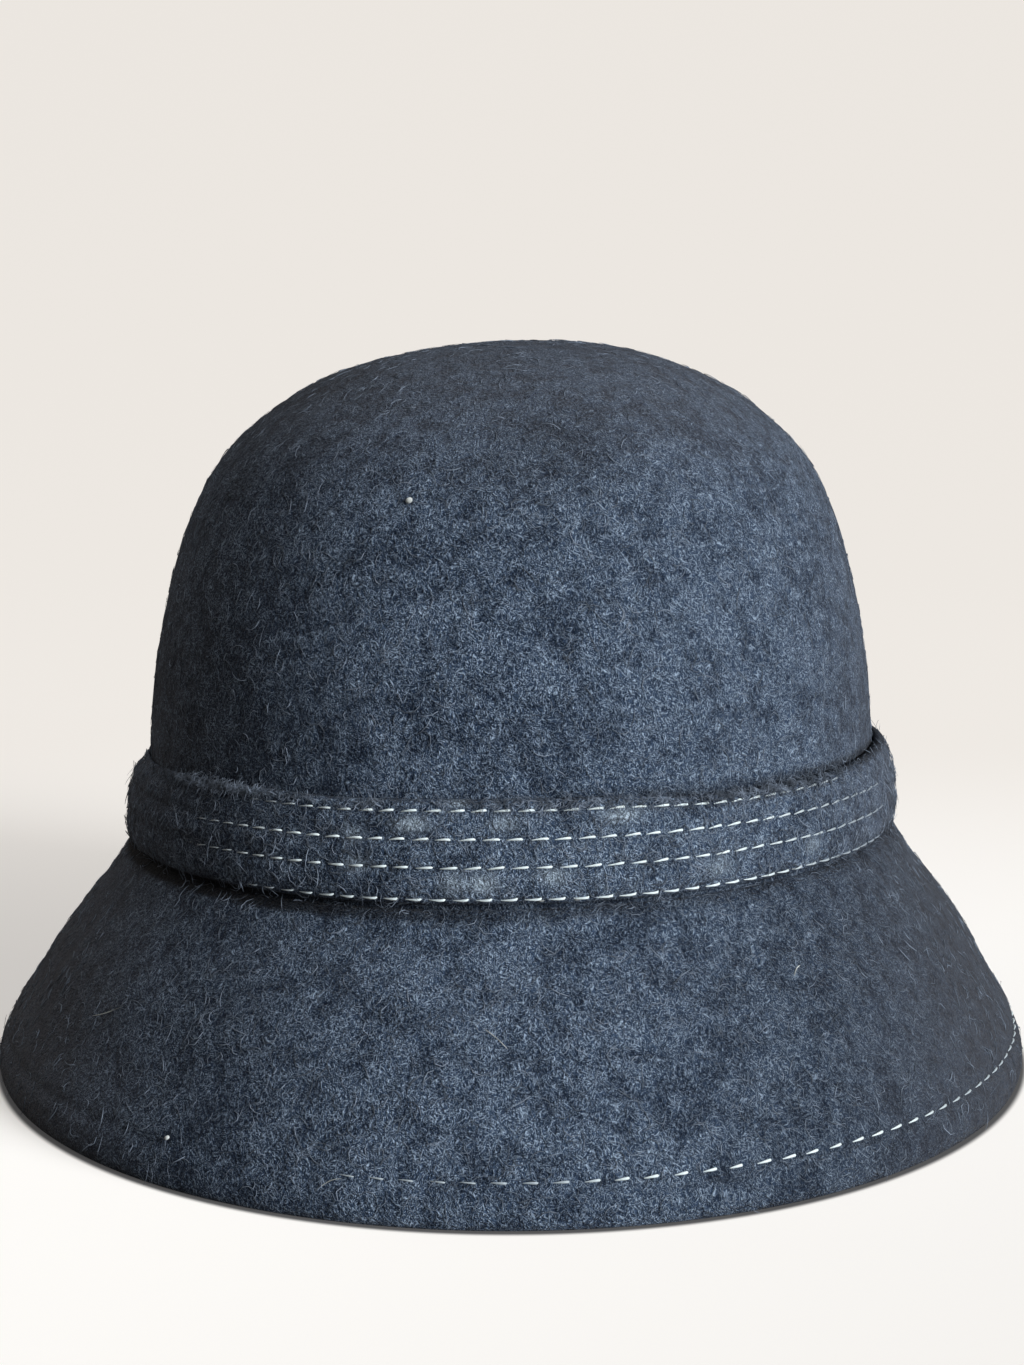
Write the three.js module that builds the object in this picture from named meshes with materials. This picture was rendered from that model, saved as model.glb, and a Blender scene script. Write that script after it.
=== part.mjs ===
// A felt cloche hat standing on its brim edge. Millimetres, +Z up, front toward -Y, wearer's left at +X.
import * as THREE from "three";
import { mergeGeometries, mergeVertices } from "three/addons/utils/BufferGeometryUtils.js";

// Sizes of the whole hat
const hatHeight = 166.2; // brim edge to the top of the crown
const brimHalfWidth = 121.6; // ear to ear
const brimHalfLength = 131.6; // front to back
const crownSetback = 3.4; // how far the head oval sits behind the middle of the brim

// Sizes of the crown
const crownHalfWidth = 86.5; // outside, at the foot
const ovalExtra = 12.6; // the head oval's half length over its half width
const crownFelt = 2.2;
const crownFootRise = 2; // lower edge of the crown above the root of the flare, hidden in the collar
const topLean = 1.5; // sideways set of the top of the crown
const headTilt = 1.9; // rise of the head line at the ear on the +X side, fall at the other

// Sizes of the brim
const brimFelt = 2.2;
const brimRootHeight = 51.2; // where the collar turns out into the flare
const collarHeight = 9.5; // upright part of the brim felt round the crown's foot
const hemFelt = 4.0; // two layers and their fold
const hemWidth = 10;
const edgeRound = 1.1; // rounding of the folded edge, which leaves a narrow flat to stand on

// Sizes of the band
const bandFelt = 2.4;
const bandFootRise = 2; // lower edge of the band above the root of the flare
const bandHeight = 20.8;
const bandSlit = 0.6; // between the two ends of the strip, centre back
const bandBevel = 0.7; // rounding of the strip's cut edges
const quilting = 0.3; // how far the felt swells between two rows of stitching

const touchGap = 0.3; // between pieces that touch
const segments = 64;
const crownSteps = 20; // along the outline, and so on
const flareSteps = 14;
const bandSteps = 16;

// Outside of the crown: rise is a share of the crown's height, reach one of its half width
const crownOutline = [
  { rise: 0, reach: 1 },
  { rise: 0.18, reach: 0.995 },
  { rise: 0.36, reach: 0.974 },
  { rise: 0.52, reach: 0.931 },
  { rise: 0.66, reach: 0.871 },
  { rise: 0.77, reach: 0.791 },
  { rise: 0.86, reach: 0.668 },
  { rise: 0.925, reach: 0.531 },
  { rise: 0.965, reach: 0.385 },
  { rise: 0.99, reach: 0.215 },
  { rise: 1, reach: 0 },
];

// Outside of the flare: drop is a share of the root's height, spread one of the way out to the brim edge
const flareOutline = [
  { drop: 0, spread: 0 },
  { drop: 0.08, spread: 0.11 },
  { drop: 0.27, spread: 0.365 },
  { drop: 0.48, spread: 0.595 },
  { drop: 0.69, spread: 0.78 },
  { drop: 0.87, spread: 0.945 },
  { drop: 1, spread: 1 },
];

// Soft dents of the crown; along and across are shares of its half length and half width, rise of its
// height, size and depth of its half width. A negative depth is a swelling.
const crownDents = [
  { across: 0.07, along: -0.79, rise: 0.765, size: 0.19, depth: 0.018 },
  { across: -0.35, along: 0, rise: 0.97, size: 0.25, depth: 0.004 },
  { across: 0.2, along: 0, rise: 0.99, size: 0.3, depth: -0.007 },
];

// Rows of stitching on the band, as shares of its height
const stitchRows = [0.055, 0.355, 0.615, 0.89];

const crownFootHeight = brimRootHeight + crownFootRise;
const crownHeight = hatHeight - crownFootHeight;
const bandFootHeight = brimRootHeight + bandFootRise;
const edgeTop = edgeRound * 2; // where the outside of the flare turns into the edge
const collarInside = crownHalfWidth + touchGap;
const collarOutside = collarInside + brimFelt;
const collarTop = brimRootHeight + collarHeight;
const bandInside = collarOutside + touchGap;
const brimExtra = brimHalfLength - brimHalfWidth;
const { cos, sin, PI, hypot, atan2, min, max, exp } = Math;
const { lerp, smoothstep } = THREE.MathUtils;

// Smooth curve through outline points, sampled evenly
function smooth(points, count) {
  const curve = new THREE.CatmullRomCurve3(points.map((p) => new THREE.Vector3(p.x, p.y, 0)));
  return curve.getSpacedPoints(count).map((p) => new THREE.Vector2(p.x, p.y));
}

// The other face of a sheet of felt: each point moved by thickness(point), square to the outline and to
// its right as it runs. A negative thickness moves it to the left.
function offset(points, thickness) {
  return points.map((point, i) => {
    const before = points[max(i - 1, 0)];
    const after = points[min(i + 1, points.length - 1)];
    const along = after.clone().sub(before).normalize();
    const depth = thickness(point);
    return new THREE.Vector2(point.x + along.y * depth, point.y - along.x * depth);
  });
}

// Half length of the oval whose half width is reach
function halfLength(reach) {
  if (reach <= crownHalfWidth) return reach * (1 + ovalExtra / crownHalfWidth);
  const out = (reach - crownHalfWidth) / (brimHalfWidth - crownHalfWidth);
  return reach + lerp(ovalExtra, brimExtra, out);
}

// From 0 at the brim's edge to 1 at the root of the flare and above it
const rootShare = (z) => THREE.MathUtils.clamp((z - edgeTop) / (brimRootHeight - edgeTop), 0, 1);

// Turns a section outline round the hat as ovals, set back toward the head, then shaped by bend(point, angle)
function turned(outline, bend, slit = 0) {
  const slitAngle = slit / halfLength(bandInside);
  const start = PI + slitAngle / 2;
  const ring = new THREE.LatheGeometry(outline, segments, start, 2 * PI - slitAngle);
  const pieces = [positionsOf(ring)];
  if (slit) {
    pieces.push(endCap(outline, start, false), endCap(outline, start - slitAngle, true));
  }
  const geometry = mergeGeometries(pieces);
  geometry.rotateX(PI / 2);
  const at = geometry.attributes.position;
  for (let i = 0; i < at.count; i++) {
    const reach = hypot(at.getX(i), at.getY(i));
    const angle = atan2(at.getY(i), at.getX(i));
    const z = at.getZ(i);
    const middle = crownSetback * rootShare(z);
    const point = new THREE.Vector3(reach * cos(angle), halfLength(reach) * sin(angle) + middle, z);
    bend(point, angle);
    at.setXYZ(i, point.x, point.y, point.z);
  }
  const closed = mergeVertices(geometry, 1e-4);
  closed.computeVertexNormals();
  return closed;
}

function positionsOf(geometry) {
  const bare = geometry.toNonIndexed();
  bare.deleteAttribute("uv");
  bare.deleteAttribute("normal");
  return bare;
}

// Flat end of a strip that doesn't go all the way round
function endCap(outline, angle, flipped) {
  const corners = [];
  for (const face of THREE.ShapeUtils.triangulateShape(outline, [])) {
    const order = flipped ? [face[0], face[2], face[1]] : face;
    for (const index of order) {
      const p = outline[index];
      corners.push(p.x * sin(angle), p.y, p.x * cos(angle));
    }
  }
  return new THREE.BufferGeometry().setAttribute("position", new THREE.Float32BufferAttribute(corners, 3));
}

const closedLoop = (points) => [...points, points[0].clone()];

// Blocked felt dome, open below
function crownGeometry() {
  const outside = smooth(
    crownOutline.map(({ rise, reach }) => ({
      x: crownHalfWidth * reach,
      y: crownFootHeight + crownHeight * rise,
    })),
    crownSteps,
  );
  outside[outside.length - 1].x = 0;
  const inside = offset(outside, () => -crownFelt).filter((_, i) => i % 2 === 0);
  inside[0].set(crownHalfWidth - crownFelt, crownFootHeight);
  inside[inside.length - 1].x = 0;
  return turned([...inside.reverse(), ...outside], bendCrown);
}

const heartRise = 0.4;
const heart = new THREE.Vector3(0, crownSetback, crownFootHeight + crownHeight * heartRise);

// The top leans a little to one side, and the dents go in toward the heart of the dome
function bendCrown(point) {
  const rise = max((point.z - crownFootHeight) / crownHeight, 0);
  const inward = heart.clone().sub(point).normalize();
  let depth = 0;
  for (const dent of crownDents) {
    const away = hypot(
      point.x - dent.across * crownHalfWidth,
      point.y - crownSetback - dent.along * halfLength(crownHalfWidth),
      point.z - crownFootHeight - dent.rise * crownHeight,
    );
    depth += dent.depth * crownHalfWidth * exp(-((away / (dent.size * crownHalfWidth)) ** 2));
  }
  point.addScaledVector(inward, depth);
  point.x += topLean * rise ** 3;
}

// Felt ring: a collar outside the crown's foot, a flare, and an edge folded under as a hem
function brimGeometry() {
  const flare = smooth(
    flareOutline.map(({ drop, spread }) => ({
      x: lerp(collarOutside, brimHalfWidth, spread),
      y: lerp(brimRootHeight, edgeTop, drop),
    })),
    flareSteps,
  );
  const collar = [collarTop, lerp(collarTop, brimRootHeight, 0.5)].map((y) => new THREE.Vector2(collarOutside, y));
  const outside = [...collar, ...flare];
  const hemStart = hemWidth - brimFelt;
  const inside = offset(outside, ({ x, y }) => {
    if (x <= collarOutside) return brimFelt;
    return lerp(hemFelt, brimFelt, smoothstep(y, hemStart, hemWidth));
  });
  inside[0].set(collarInside, collarTop);
  inside[inside.length - 1].set(brimHalfWidth - hemFelt, edgeTop);
  const foot = [
    new THREE.Vector2(brimHalfWidth - edgeRound * 0.4, edgeRound * 0.6),
    new THREE.Vector2(brimHalfWidth - edgeRound, 0),
    new THREE.Vector2(brimHalfWidth - hemFelt + edgeRound, 0),
    new THREE.Vector2(brimHalfWidth - hemFelt + edgeRound * 0.3, edgeRound * 0.6),
  ];
  return turned(closedLoop([...outside, ...foot, ...inside.reverse()].reverse()), bendBrim);
}

// The head line tilts, and the brim's edge stays flat
function bendBrim(point, angle) {
  point.z += headTilt * cos(angle) * rootShare(point.z);
}

// Felt strip over the seam, its upper part leaning in over the collar to the crown
function bandGeometry() {
  const bandTop = bandFootHeight + bandHeight;
  const leanStart = collarTop + touchGap;
  const crownReach = crownHalfWidth + touchGap;
  const inside = [
    new THREE.Vector2(bandInside, bandFootHeight),
    new THREE.Vector2(bandInside, leanStart),
    new THREE.Vector2(lerp(bandInside, crownReach, 0.6), lerp(leanStart, bandTop, 0.5)),
    new THREE.Vector2(crownReach, lerp(leanStart, bandTop, 0.85)),
    new THREE.Vector2(crownReach, bandTop),
  ];
  const outside = smooth(inside, bandSteps).map((point) => {
    const share = (point.y - bandFootHeight) / bandHeight;
    return new THREE.Vector2(point.x + bandFelt + swelling(share), point.y);
  });
  const last = outside.length - 1;
  outside[0].x -= bandBevel / 2;
  outside[last].x -= bandBevel;
  outside[last].y -= bandBevel / 3;
  return turned(closedLoop([...outside, ...inside.reverse()]), bendBand, bandSlit);
}

// The felt swells between neighbouring rows and is pulled in at each
function swelling(share) {
  for (let i = 1; i < stitchRows.length; i++) {
    const low = stitchRows[i - 1];
    const high = stitchRows[i];
    if (share >= low && share <= high) return quilting * sin((PI * (share - low)) / (high - low));
  }
  return 0;
}

function bendBand(point, angle) {
  point.z += headTilt * cos(angle);
}

const felt = (color) => new THREE.MeshStandardMaterial({ color, roughness: 0.95, metalness: 0 });

const hat = new THREE.Group();
for (const [name, geometry, color] of [
  ["crown", crownGeometry(), 0x4a576b],
  ["brim", brimGeometry(), 0x485468],
  ["band", bandGeometry(), 0x445064],
]) {
  const mesh = new THREE.Mesh(geometry, felt(color));
  mesh.name = name;
  hat.add(mesh);
}

export default hat;
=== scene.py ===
"""A felt cloche hat standing on its brim edge: blocked crown, flared brim, stitched band, loose wool."""

import math
import random

import bmesh
import bpy
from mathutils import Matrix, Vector, noise


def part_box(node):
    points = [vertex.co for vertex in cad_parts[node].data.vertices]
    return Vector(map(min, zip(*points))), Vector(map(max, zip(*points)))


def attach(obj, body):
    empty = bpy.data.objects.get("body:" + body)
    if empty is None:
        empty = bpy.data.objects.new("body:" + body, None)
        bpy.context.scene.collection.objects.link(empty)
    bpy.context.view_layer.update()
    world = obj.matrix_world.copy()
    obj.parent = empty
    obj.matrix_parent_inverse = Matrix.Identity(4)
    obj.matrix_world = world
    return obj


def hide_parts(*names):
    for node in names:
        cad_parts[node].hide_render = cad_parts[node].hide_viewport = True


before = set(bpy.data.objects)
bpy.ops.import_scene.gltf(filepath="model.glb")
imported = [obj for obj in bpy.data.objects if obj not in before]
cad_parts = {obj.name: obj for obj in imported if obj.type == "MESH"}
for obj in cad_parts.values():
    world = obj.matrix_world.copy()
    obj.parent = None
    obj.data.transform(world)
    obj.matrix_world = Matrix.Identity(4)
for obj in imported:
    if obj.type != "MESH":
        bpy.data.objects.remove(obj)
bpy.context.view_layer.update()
MM = 0.001
TURN = 2 * math.pi

# Sizes of the hat in metres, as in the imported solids
HAT_HEIGHT = 166.2 * MM
BRIM_HALF_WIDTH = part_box("brim")[1].x
BRIM_HALF_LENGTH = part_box("brim")[1].y
CROWN_SETBACK = 3.4 * MM
CROWN_HALF_WIDTH = 86.5 * MM
OVAL_EXTRA = 12.6 * MM
CROWN_FELT = 2.2 * MM
CROWN_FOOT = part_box("crown")[0].z
TOP_LEAN = 1.5 * MM
HEAD_TILT = 1.9 * MM
BRIM_FELT = 2.2 * MM
BRIM_ROOT = CROWN_FOOT - 2 * MM
COLLAR_HEIGHT = 9.5 * MM
HEM_FELT = 4 * MM
HEM_WIDTH = 10 * MM
EDGE_ROUND = 1.1 * MM
BAND_FELT = 2.4 * MM
BAND_FOOT = BRIM_ROOT + 2 * MM
BAND_HEIGHT = 20.8 * MM
BAND_SLIT = 0.6 * MM
LEFT_DIP = 2.2 * MM  # how far the band's top edge has slipped down on the wearer's left
RIGHT_DIP = 1.8 * MM  # and on the wearer's right
FRONT_DIP = 0.6 * MM  # and at the front
TUCK_SWELL = 2.2 * MM  # how far the brim's felt stands up against the band's lower edge
TUCK_SPREAD = 3.5 * MM  # and how far out that rise reaches
TOUCH_GAP = 0.3 * MM

# Stitching
ROW_HEIGHTS = (0.055, 0.355, 0.615, 0.89)  # shares of the band's height
ROW_PITCH = 4.7 * MM
ROW_DASH = 3.5 * MM
ROW_SHIFTS = (0.15, 0.62, 0.4, 0.85)  # of a pitch
HEM_ROW_HEIGHT = 8.4 * MM
HEM_PITCH = 5.6 * MM
HEM_DASH = 3 * MM
ROW_THREAD = 0.23 * MM  # radius
HEM_THREAD = 0.25 * MM

# Outside of the crown: shares of its height and of its half width
CROWN_OUTLINE = (
    (0, 1),
    (0.18, 0.995),
    (0.36, 0.974),
    (0.52, 0.931),
    (0.66, 0.871),
    (0.77, 0.791),
    (0.86, 0.668),
    (0.925, 0.531),
    (0.965, 0.385),
    (0.99, 0.215),
    (1, 0),
)
# Outside of the flare: shares of the drop from its root and of the way out to the brim edge
FLARE_OUTLINE = (
    (0, 0),
    (0.08, 0.11),
    (0.27, 0.365),
    (0.48, 0.595),
    (0.69, 0.78),
    (0.87, 0.945),
    (1, 1),
)
# Soft dents: across, along, rise, size and depth as shares of the crown's own sizes
CROWN_DENTS = (
    (0.07, -0.79, 0.765, 0.19, 0.018),
    (-0.35, 0, 0.97, 0.25, 0.004),
    (0.2, 0, 0.99, 0.3, -0.007),
)

CROWN_HEIGHT = HAT_HEIGHT - CROWN_FOOT
COLLAR_OUTSIDE = CROWN_HALF_WIDTH + TOUCH_GAP + BRIM_FELT
COLLAR_TOP = BRIM_ROOT + COLLAR_HEIGHT
BAND_INSIDE = COLLAR_OUTSIDE + TOUCH_GAP
EDGE_TOP = EDGE_ROUND * 2
FRONT = -math.pi / 2


def lerp(a, b, share):
    return a + (b - a) * share


def eased(value, low, high):
    share = min(max((value - low) / (high - low), 0), 1)
    return share * share * (3 - 2 * share)


def curve_through(points, step):
    """Points about a step apart on a smooth curve through the given (reach, height) points."""
    knots = [Vector(p) for p in points]
    ends = [2 * knots[0] - knots[1], *knots, 2 * knots[-1] - knots[-2]]
    dense = []
    for a, b, c, d in zip(ends, ends[1:], ends[2:], ends[3:]):
        t = [0.0]
        for near, far in ((a, b), (b, c), (c, d)):
            t.append(t[-1] + math.sqrt((far - near).length))
        for i in range(24):
            now = lerp(t[1], t[2], i / 24)
            ab = lerp(a, b, (now - t[0]) / (t[1] - t[0]))
            bc = lerp(b, c, (now - t[1]) / (t[2] - t[1]))
            cd = lerp(c, d, (now - t[2]) / (t[3] - t[2]))
            abc = lerp(ab, bc, (now - t[0]) / (t[2] - t[0]))
            bcd = lerp(bc, cd, (now - t[1]) / (t[3] - t[1]))
            dense.append(lerp(abc, bcd, (now - t[1]) / (t[2] - t[1])))
    return evened([*dense, knots[-1]], step)


def evened(points, step):
    """The same line with its points evenly spaced."""
    line = Line(points)
    count = max(2, round(line.length / step))
    return [line.at(line.length * i / count) for i in range(count + 1)]


class Line:
    """A line of points that is read by the distance along it."""

    def __init__(self, points):
        self.points = list(points)
        self.marks = [0.0]
        for a, b in zip(self.points, self.points[1:]):
            self.marks.append(self.marks[-1] + (b - a).length)
        self.length = self.marks[-1]

    def at(self, distance):
        distance = min(max(distance, 0), self.length)
        low, high = 0, len(self.marks) - 1
        while high - low > 1:
            middle = (low + high) // 2
            if self.marks[middle] <= distance:
                low = middle
            else:
                high = middle
        span = self.marks[high] - self.marks[low]
        return lerp(self.points[low], self.points[high], (distance - self.marks[low]) / span if span else 0)


def other_face(points, thickness):
    """The other face of a sheet of felt, to the right of the line as it runs."""
    moved = []
    for i, point in enumerate(points):
        along = (points[min(i + 1, len(points) - 1)] - points[max(i - 1, 0)]).normalized()
        moved.append(point + Vector((along.y, -along.x)) * thickness(point))
    return moved


def half_length(reach):
    """Half length of the oval whose half width is reach."""
    if reach <= CROWN_HALF_WIDTH:
        return reach * (1 + OVAL_EXTRA / CROWN_HALF_WIDTH)
    out = (reach - CROWN_HALF_WIDTH) / (BRIM_HALF_WIDTH - CROWN_HALF_WIDTH)
    return reach + lerp(OVAL_EXTRA, BRIM_HALF_LENGTH - BRIM_HALF_WIDTH, out)


def root_share(z):
    return min(max((z - EDGE_TOP) / (BRIM_ROOT - EDGE_TOP), 0), 1)


def on_oval(reach, z, angle):
    middle = CROWN_SETBACK * root_share(z)
    return Vector((reach * math.cos(angle), half_length(reach) * math.sin(angle) + middle, z))


def lumps(point, size, depth, seed):
    """Unevenness of hand-blocked felt, in metres: swells about a size across."""
    where = point / size + Vector((seed, seed * 1.7, -seed))
    return depth * (noise.noise(where) + 0.5 * noise.noise(where * 2.1))


def crown_shape(reach, z, angle):
    point = on_oval(reach, z, angle)
    heart = Vector((0, CROWN_SETBACK, CROWN_FOOT + 0.4 * CROWN_HEIGHT))
    inward = (heart - point).normalized()
    depth = lumps(point, 26 * MM, 0.35 * MM, 3) + lumps(point, 8 * MM, 0.08 * MM, 9)
    for across, along, rise, size, dent in CROWN_DENTS:
        middle = Vector((
            across * CROWN_HALF_WIDTH,
            CROWN_SETBACK + along * half_length(CROWN_HALF_WIDTH),
            CROWN_FOOT + rise * CROWN_HEIGHT,
        ))
        away = (point - middle).length / (size * CROWN_HALF_WIDTH)
        depth += dent * CROWN_HALF_WIDTH * math.exp(-away * away)
    lean = TOP_LEAN * max((z - CROWN_FOOT) / CROWN_HEIGHT, 0) ** 3
    return point + inward * depth * eased(z, CROWN_FOOT, CROWN_FOOT + 25 * MM) + Vector((lean, 0, 0))


def brim_shape(reach, z, angle):
    point = on_oval(reach, z, angle)
    point.z += HEAD_TILT * math.cos(angle) * root_share(z)
    free = root_share(z) * (1 - root_share(z)) * 4
    swell = lumps(point, 34 * MM, 0.7 * MM, 5) * free + lumps(point, 9 * MM, 0.1 * MM, 2) * min(free * 2, 1)
    under_band = (reach - BAND_INSIDE - BAND_FELT) / TUCK_SPREAD
    below_root = eased(z, BRIM_ROOT + 1 * MM, BRIM_ROOT - 1 * MM)
    point.z += TUCK_SWELL * math.exp(-under_band * under_band) * below_root
    return point + Vector((math.cos(angle), math.sin(angle), 0.6)) * swell


def band_shape(reach, z, angle):
    from_front = math.remainder(angle - FRONT, TURN)
    share = min(max((z - BAND_FOOT) / BAND_HEIGHT, 0), 1)
    on_right = eased(from_front, -0.75, -1.3) * eased(from_front, -2.7, -1.9)
    reach = lerp(reach, CROWN_HALF_WIDTH, 0.75 * eased(share, 0.7, 1) * on_right)
    point = on_oval(reach, z, angle)
    point.z += HEAD_TILT * math.cos(angle)
    outer = eased(reach - BAND_INSIDE, -0.5 * MM, BAND_FELT)
    swell = (lumps(point, 13 * MM, 0.25 * MM, 7) + 0.1 * MM) * outer
    wander = lumps(point, 40 * MM, 0.35 * MM, 4)
    sunk = eased(from_front, 0.15, 0.6) * (1 - eased(from_front, 1.9, 2.7)) * LEFT_DIP
    sunk += on_right * RIGHT_DIP
    sunk += eased(abs(from_front), 1.2, 0.7) * FRONT_DIP
    wander -= share ** 4 * sunk
    return point + Vector((math.cos(angle) * swell, math.sin(angle) * swell, wander))


class Face:
    """One side of a felt piece, read by the distance up its outline and the angle round the hat."""

    def __init__(self, outline, shape):
        self.line = Line(outline)
        self.shape = shape

    def point(self, along, angle):
        reach, z = self.line.at(along)
        return self.shape(reach, z, angle)

    def spot(self, along, angle):
        """A point of the face, and the way out of the felt there."""
        here = self.point(along, angle)
        near = 0.3 * MM
        up = self.point(along + near, angle) - self.point(along - near, angle)
        round_ = self.point(along, angle + 0.003) - self.point(along, angle - 0.003)
        return here, round_.cross(up).normalized()

    def height_at(self, z):
        """Distance up the outline where it first reaches a height."""
        steps = 400
        for i in range(steps):
            low = self.line.at(self.line.length * i / steps).y
            high = self.line.at(self.line.length * (i + 1) / steps).y
            if (low - z) * (high - z) <= 0:
                return self.line.length * (i + 0.5) / steps
        return self.line.length


# Outlines, each from the foot up
crown_outside = curve_through(
    [(CROWN_HALF_WIDTH * reach, CROWN_FOOT + CROWN_HEIGHT * rise) for rise, reach in CROWN_OUTLINE], 1.6 * MM
)
crown_outside[-1].x = 0
crown_inside = other_face(crown_outside, lambda p: -CROWN_FELT)
crown_inside[0] = Vector((CROWN_HALF_WIDTH - CROWN_FELT, CROWN_FOOT))
crown_inside[-1].x = 0

flare = curve_through(
    [
        (lerp(COLLAR_OUTSIDE, BRIM_HALF_WIDTH, spread), lerp(BRIM_ROOT, EDGE_TOP, drop))
        for drop, spread in FLARE_OUTLINE
    ],
    1.3 * MM,
)


def hem_ease(point):
    """1 on the hem, 0 above it."""
    return 1 - eased(point.y, HEM_WIDTH - 2.4 * MM, HEM_WIDTH)


def brim_groove(points):
    """The hem's row of stitching pulls the felt in, and the fold below it stands a little fuller."""
    drawn = []
    for i, point in enumerate(points):
        along = (points[min(i + 1, len(points) - 1)] - points[max(i - 1, 0)]).normalized()
        out = Vector((-along.y, along.x))
        off = (point.y - HEM_ROW_HEIGHT) / (1.1 * MM)
        fuller = 0.3 * MM * eased(point.y, EDGE_TOP, 4 * MM) * (1 - eased(point.y, 6 * MM, 8 * MM))
        drawn.append(point + out * (fuller - 0.45 * MM * math.exp(-off * off)))
    return drawn


brim_outside = brim_groove(evened([Vector((COLLAR_OUTSIDE, COLLAR_TOP)), *flare], 0.9 * MM))
brim_inside = other_face(
    brim_outside, lambda p: BRIM_FELT if p.x <= COLLAR_OUTSIDE else lerp(BRIM_FELT, HEM_FELT, hem_ease(p))
)
brim_inside[-1] = Vector((BRIM_HALF_WIDTH - HEM_FELT, EDGE_TOP))


def band_inside_line():
    lean_start = COLLAR_TOP + TOUCH_GAP
    top = BAND_FOOT + BAND_HEIGHT
    reach = CROWN_HALF_WIDTH + TOUCH_GAP
    knots = [
        (BAND_INSIDE, BAND_FOOT),
        (BAND_INSIDE, lean_start),
        (lerp(BAND_INSIDE, reach, 0.6), lerp(lean_start, top, 0.5)),
        (reach, lerp(lean_start, top, 0.85)),
        (reach, top),
    ]
    return curve_through(knots, 0.45 * MM)


def band_thickness(point):
    """Full between the rows of stitching, drawn in at each row, rounded at the two cut edges."""
    share = (point.y - BAND_FOOT) / BAND_HEIGHT
    thick = BAND_FELT + 0.3 * MM
    for row in ROW_HEIGHTS:
        off = (share - row) * BAND_HEIGHT / (1.2 * MM)
        thick -= 0.42 * MM * math.exp(-off * off)
    for edge in (0, 1):
        close = max(1 - abs(share - edge) * BAND_HEIGHT / (1.6 * MM), 0)
        thick -= 1.3 * MM * close * close
    return thick


band_inside = band_inside_line()
band_outside = other_face(band_inside, band_thickness)

crown_face = Face(crown_outside, crown_shape)
brim_face = Face(list(reversed(brim_outside)), brim_shape)
brim_under_face = Face(brim_inside, brim_shape)
band_face = Face(band_outside, band_shape)


# Mesh pieces


def finished(name, mesh):
    piece = bpy.data.objects.new(name, mesh)
    bpy.context.scene.collection.objects.link(piece)
    return piece


def turned(name, outline, turns, shape, marks, slit=0.0, closed=True):
    """Spins an outline of (reach, height) points round the hat, then shapes every vertex."""
    bm = bmesh.new()
    start = math.pi / 2 + slit / 2
    corners = [
        bm.verts.new((p.x * math.cos(start), p.x * math.sin(start), p.y)) for p in outline
    ]
    edges = [bm.edges.new(pair) for pair in zip(corners, corners[1:])]
    if closed:
        edges.append(bm.edges.new((corners[-1], corners[0])))
    bmesh.ops.spin(
        bm,
        geom=corners + edges,
        axis=(0, 0, 1),
        cent=(0, 0, 0),
        angle=TURN - slit,
        steps=turns,
        use_merge=not slit,
    )
    bmesh.ops.remove_doubles(bm, verts=bm.verts, dist=1e-6)
    if slit:
        bmesh.ops.holes_fill(bm, edges=[e for e in bm.edges if e.is_boundary], sides=0)
    sewing = bm.loops.layers.uv.new("sewing")
    for face in bm.faces:
        middle = face.calc_center_median()
        facing = math.atan2(middle.y, middle.x)
        for loop in face.loops:
            x, y, z = loop.vert.co
            angle = facing + math.remainder(math.atan2(y, x) - facing, TURN)
            loop[sewing].uv = (marks.distance(angle), z)
    for vert in bm.verts:
        x, y, z = vert.co
        vert.co = shape(math.hypot(x, y), z, math.atan2(y, x))
    bmesh.ops.recalc_face_normals(bm, faces=bm.faces)
    mesh = bpy.data.meshes.new(name)
    bm.to_mesh(mesh)
    bm.free()
    mesh.shade_smooth()
    return finished(name, mesh)


class RoundMarks:
    """Distance round the head oval at the band, measured from centre front, and the angle at a distance."""

    def __init__(self, reach, z):
        count = 720
        self.angles = [lerp(FRONT, FRONT + TURN, i / count) for i in range(count + 1)]
        spots = [on_oval(reach, z, angle) for angle in self.angles]
        self.marks = [0.0]
        for a, b in zip(spots, spots[1:]):
            self.marks.append(self.marks[-1] + (b - a).length)
        self.length = self.marks[-1]

    def even(self, pitch):
        """The pitch near this one that fits a whole number of times round."""
        return self.length / round(self.length / pitch)

    def distance(self, angle):
        turns, rest = divmod(angle - FRONT, TURN)
        place = rest / TURN * (len(self.marks) - 1)
        low = min(int(place), len(self.marks) - 2)
        return turns * self.length + lerp(self.marks[low], self.marks[low + 1], place - low)

    def angle(self, distance):
        turns, rest = divmod(distance, self.length)
        low, high = 0, len(self.marks) - 1
        while high - low > 1:
            middle = (low + high) // 2
            if self.marks[middle] <= rest:
                low = middle
            else:
                high = middle
        share = (rest - self.marks[low]) / (self.marks[high] - self.marks[low])
        return turns * TURN + lerp(self.angles[low], self.angles[high], share)


round_marks = RoundMarks(BAND_INSIDE + BAND_FELT, BAND_FOOT + BAND_HEIGHT / 2)
hem_marks = RoundMarks(118 * MM, HEM_ROW_HEIGHT)


def crown_piece():
    """Its outline runs from the inner pole down to the foot and up to the outer pole, so it stays open."""
    outline = [*reversed(evened(crown_inside, 3 * MM)), *crown_outside]
    return turned("crown_felt", outline, 224, crown_shape, round_marks, closed=False)


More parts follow.
